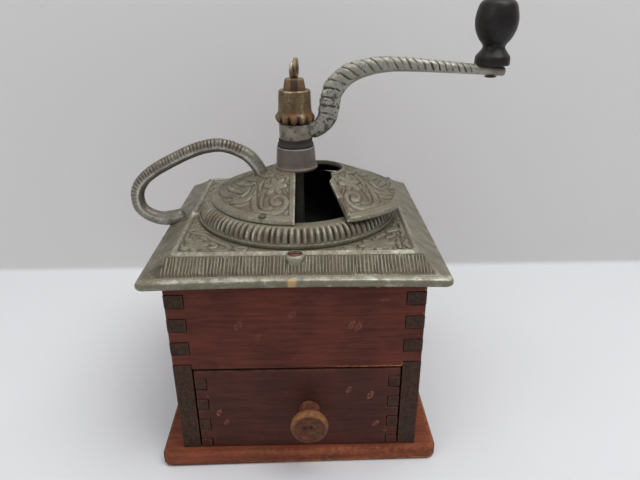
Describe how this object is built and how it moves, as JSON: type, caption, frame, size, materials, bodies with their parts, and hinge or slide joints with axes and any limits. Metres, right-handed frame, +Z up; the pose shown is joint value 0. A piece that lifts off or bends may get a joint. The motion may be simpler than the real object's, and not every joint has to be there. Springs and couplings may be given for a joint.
{
  "type": "coffee grinder",
  "caption": "Old wooden box coffee mill with a cast iron top, half-open hopper lid, crank with a turned knob, regulator nut, carrying handle and a drawer for the grounds.",
  "frame": {"origin": "middle of the base board's underside, straight below the spindle", "axes": "+Z up, -Y towards the drawer's front, +X the way the crank points at rest"},
  "size_m": [0.2508, 0.1921, 0.2789],
  "materials": {
    "base_wood": "orange-brown stained wood, worn at the edges",
    "box_wood": "dark red-brown stained wood, dull wax",
    "drawer_wood": "maroon-brown stained wood with scuffs",
    "knob_wood": "handled tan wood, satin",
    "black_wood": "black paint on turned wood, satin",
    "cast_iron": "tarnished plating with brown dirt in the relief and bright worn tops",
    "crank_iron": "worn bright plating over cast iron",
    "burr_iron": "dark hard iron",
    "steel": "dull steel",
    "rusty_steel": "rusty steel",
    "aged_brass": "brown patina with orange rust stains",
    "leather": "blackened leather washer"
  },
  "bodies": {
    "case": {"base_board": "base_wood", "base_screw_front_left": "steel", "base_screw_front_right": "steel", "base_screw_back_left": "steel", "base_screw_back_right": "steel", "left_side_board": "box_wood", "right_side_board": "box_wood", "front_board": "box_wood", "back_board": "box_wood", "top_plate": "cast_iron", "plate_screw_front": "rusty_steel", "plate_screw_back": "rusty_steel", "hopper": "cast_iron", "hopper_screw_left": "steel", "hopper_screw_right": "steel", "fixed_cover": "cast_iron", "cover_rivet_front": "steel", "cover_rivet_back": "steel", "lid_pivot_pin": "steel", "side_handle": "cast_iron", "handle_rivet": "steel", "handle_screw": "steel", "grinding_ring": "burr_iron", "spindle_bridge": "burr_iron", "bridge_screw_left": "steel", "bridge_screw_right": "steel", "collar_washer": "leather"},
    "crank": {"crank_arm": "crank_iron", "knob_pin": "steel"},
    "knob": {"crank_knob": "black_wood"},
    "regulator": {"regulator_nut": "aged_brass"},
    "spindle": {"spindle": "steel", "grinding_cone": "burr_iron", "cone_pin": "steel"},
    "lid": {"hopper_lid": "cast_iron"},
    "drawer": {"drawer_front": "drawer_wood", "drawer_left_side": "drawer_wood", "drawer_right_side": "drawer_wood", "drawer_back": "drawer_wood", "drawer_bottom": "drawer_wood", "drawer_knob": "knob_wood", "drawer_knob_screw": "steel"}
  },
  "joints": [
    {"name": "crank_spin", "type": "hinge", "parent": "case", "child": "crank", "pos_m": [0, 0, 0.2], "axis": [0, 0, 1], "continuous": true},
    {"name": "knob_spin", "type": "hinge", "parent": "crank", "child": "knob", "pos_m": [0.124, 0, 0.258], "axis": [0, 0, 1], "continuous": true},
    {"name": "regulator_turn", "type": "hinge", "parent": "crank", "child": "regulator", "pos_m": [0, 0, 0.215], "axis": [0, 0, 1], "range_deg": [-540, 180]},
    {"name": "spindle_lift", "type": "slide", "parent": "crank", "child": "spindle", "axis": [0, 0, 1], "range_m": [-0.00188, 0.00063]},
    {"name": "lid_swing", "type": "hinge", "parent": "case", "child": "lid", "pos_m": [0.005, 0.055, 0.157], "axis": [0, 0, 1], "range_deg": [-16, 74]},
    {"name": "drawer_slide", "type": "slide", "parent": "case", "child": "drawer", "axis": [0, -1, 0], "range_m": [0, 0.13]}
  ],
  "couplings": [
    {"joint": "regulator_turn", "follows": "spindle_lift", "rad_per_m": 5000}
  ]
}
